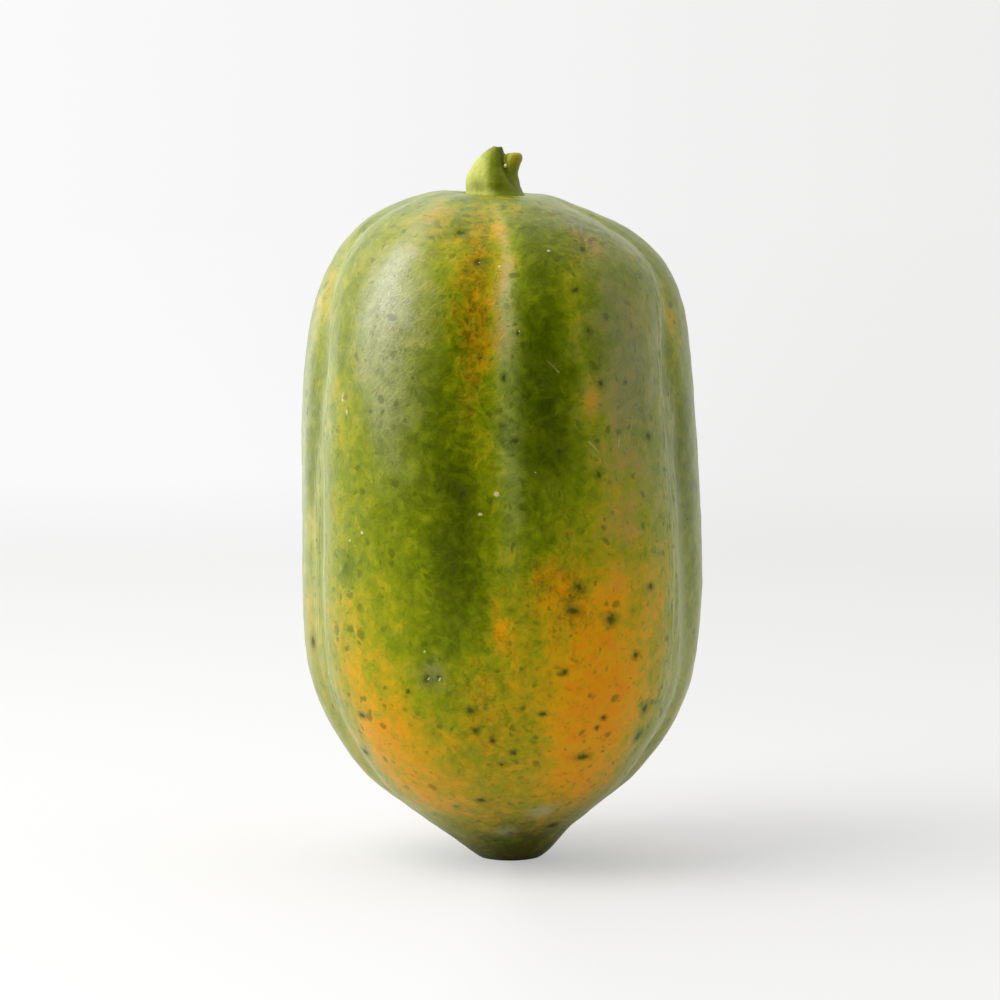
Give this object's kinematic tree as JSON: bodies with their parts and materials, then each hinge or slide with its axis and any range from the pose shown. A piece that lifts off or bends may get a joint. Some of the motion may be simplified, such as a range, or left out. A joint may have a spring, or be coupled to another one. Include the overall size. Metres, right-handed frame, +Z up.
{
  "type": "papaya fruit",
  "caption": "Whole ripening papaya: a blunt, lobed, oblong fruit with a short cut stem, standing upright on the small flat spot at its blossom end.",
  "frame": {"origin": "middle of the small flat spot at the blossom end, on the surface that the fruit stands on", "axes": "+Z up along the fruit towards its stem; -Y is the front, the side with the large orange blush; +X to the right"},
  "size_m": [0.1205, 0.1204, 0.214],
  "materials": {
    "skin": "waxy, half matt, green turning yellow and orange",
    "stem": "fresh green, half matt"
  },
  "bodies": {
    "root": {"fruit": "skin", "stem": "stem"}
  },
  "joints": []
}
